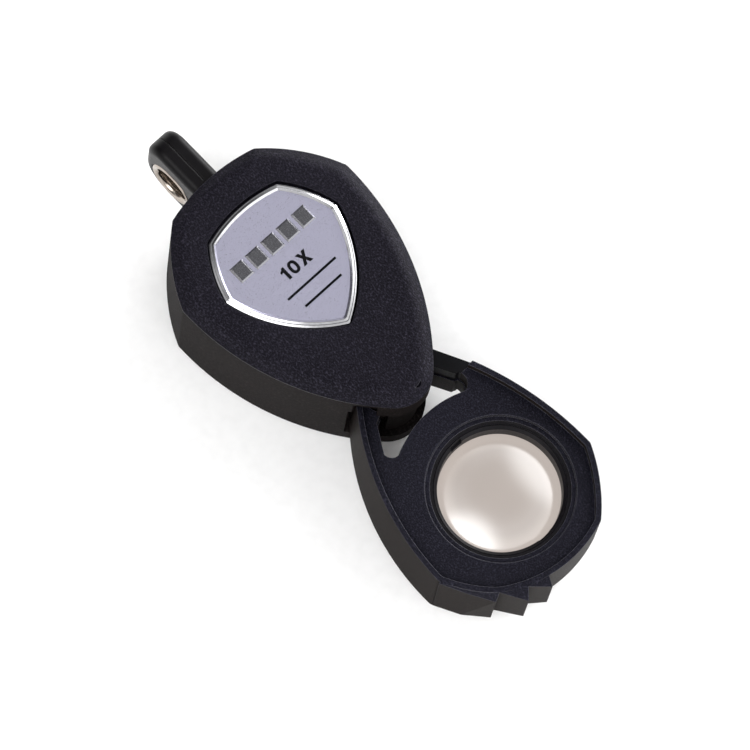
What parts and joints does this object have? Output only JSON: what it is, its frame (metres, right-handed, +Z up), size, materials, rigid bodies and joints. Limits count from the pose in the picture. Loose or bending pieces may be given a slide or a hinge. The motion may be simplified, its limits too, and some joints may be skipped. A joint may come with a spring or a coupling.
{
  "type": "folding pocket loupe",
  "caption": "Folding pocket magnifier: a tapered case with a lanyard lug, and a lens holder that swings out of it on a hinge at the narrow end.",
  "frame": {"origin": "on the resting plane, under the hinge axis", "axes": "+X from the hinge out along the unfolded lens holder, the case lies on -X; +Y towards the case's open side; +Z up along the hinge axis, to the badge face"},
  "size_m": [0.0757, 0.0287, 0.0178],
  "materials": {
    "case_side": "fine spark texture, warm black",
    "case_grain": "leather grain, satin black",
    "adhesive": "thin adhesive foil",
    "badge_satin": "satin",
    "badge_bright": "polished",
    "lug_black": "satin black",
    "eyelet_bright": "polished nickel",
    "hinge_steel": "turned",
    "washer": "acetal",
    "holder_black": "fine matte blue-black",
    "hinge_black": "smooth satin black",
    "bush_brass": "turned",
    "cell_black": "black anodised",
    "lens_glass": "polished, coated"
  },
  "bodies": {
    "case": {"case_body": "case_side", "top_cover": "case_grain", "bottom_cover": "case_grain", "badge_adhesive": "adhesive", "badge_plate": "badge_satin", "badge_bezel": "badge_bright", "lanyard_lug": "lug_black", "lug_eyelet": "eyelet_bright", "lug_eyelet_washer": "eyelet_bright", "pivot_pin": "hinge_steel", "pivot_screw": "hinge_steel", "thrust_washer_lower": "washer", "thrust_washer_upper": "washer", "disc_spring": "hinge_steel"},
    "holder": {"holder_frame": "holder_black", "hinge_plate": "hinge_black", "hinge_plate_rivet_1": "hinge_steel", "hinge_plate_rivet_2": "hinge_steel", "pivot_bush": "bush_brass", "lens_barrel": "cell_black", "lens_collar": "cell_black", "lens_upper": "lens_glass", "lens_middle": "lens_glass", "lens_lower": "lens_glass"}
  },
  "joints": [
    {"name": "holder_hinge", "type": "hinge", "parent": "case", "child": "holder", "pos_m": [0, 0, 0], "axis": [0, 0, 1], "range_deg": [0, 180]}
  ]
}
